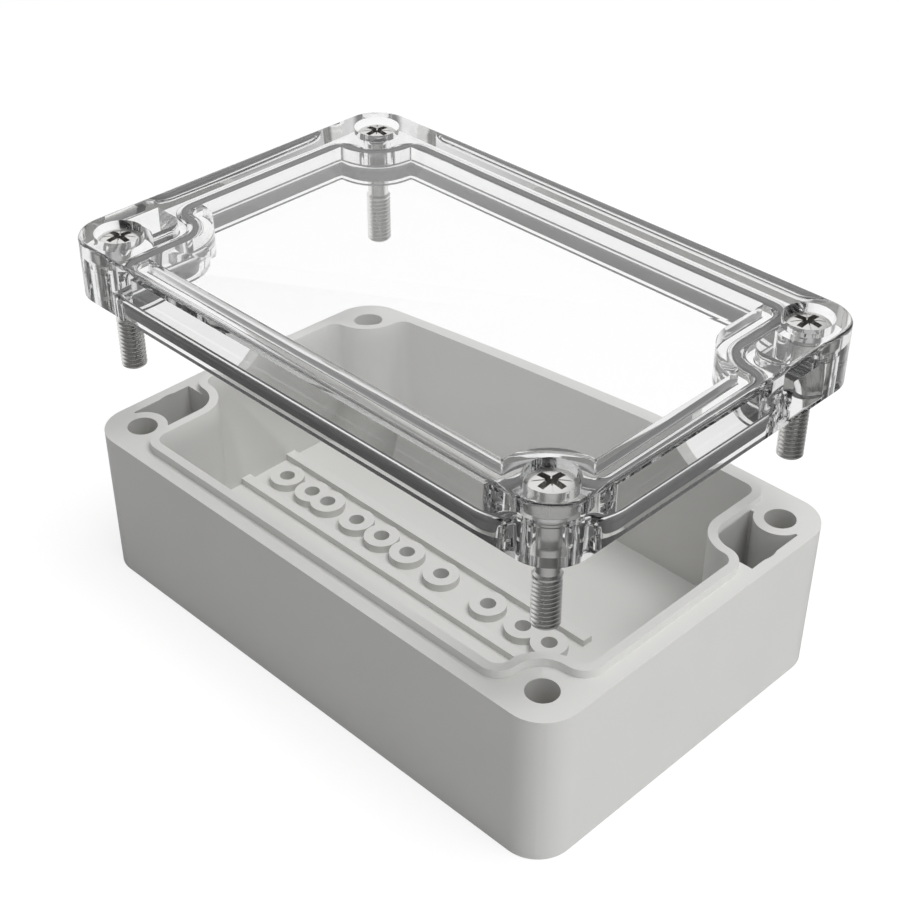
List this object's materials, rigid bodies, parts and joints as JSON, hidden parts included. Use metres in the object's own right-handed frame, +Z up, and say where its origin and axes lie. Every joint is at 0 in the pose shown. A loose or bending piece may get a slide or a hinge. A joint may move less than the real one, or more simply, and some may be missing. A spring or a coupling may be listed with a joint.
{
  "type": "plastic enclosure",
  "caption": "Small rectangular plastic enclosure: light grey base with a sealing ridge and wall-mounting pockets, clear screw-on lid with a gasket groove, captive corner screws.",
  "frame": {"origin": "centre of the base's bottom face", "axes": "+X along the box's length, +Y along its width, +Z up out of the open base; the lid stands lifted above the base at rest"},
  "size_m": [0.098, 0.064, 0.0605],
  "materials": {
    "housing": "fine moulded satin",
    "clear_lid": "polished clear polycarbonate",
    "gasket": "matt foamed strip",
    "screw_steel": "turned and rolled stainless steel",
    "insert_brass": "turned"
  },
  "bodies": {
    "base": {"base": "housing", "insert_front_left": "insert_brass", "insert_front_right": "insert_brass", "insert_rear_right": "insert_brass", "insert_rear_left": "insert_brass"},
    "lid": {"lid": "clear_lid", "gasket": "gasket"},
    "lid_screw_front_left": {"lid_screw_front_left": "screw_steel"},
    "lid_screw_front_right": {"lid_screw_front_right": "screw_steel"},
    "lid_screw_rear_right": {"lid_screw_rear_right": "screw_steel"},
    "lid_screw_rear_left": {"lid_screw_rear_left": "screw_steel"}
  },
  "joints": [
    {"name": "lid_lift", "type": "slide", "parent": "base", "child": "lid", "axis": [0, 0, 1], "range_m": [-0.0253, 0], "deforming": ["gasket"]},
    {"name": "lid_screw_front_left_turn", "type": "hinge", "parent": "lid", "child": "lid_screw_front_left", "pos_m": [-0.043, -0.026, 0.057], "axis": [0, 0, 1], "continuous": true},
    {"name": "lid_screw_front_right_turn", "type": "hinge", "parent": "lid", "child": "lid_screw_front_right", "pos_m": [0.043, -0.026, 0.057], "axis": [0, 0, 1], "continuous": true},
    {"name": "lid_screw_rear_right_turn", "type": "hinge", "parent": "lid", "child": "lid_screw_rear_right", "pos_m": [0.043, 0.026, 0.057], "axis": [0, 0, 1], "continuous": true},
    {"name": "lid_screw_rear_left_turn", "type": "hinge", "parent": "lid", "child": "lid_screw_rear_left", "pos_m": [-0.043, 0.026, 0.057], "axis": [0, 0, 1], "continuous": true}
  ]
}
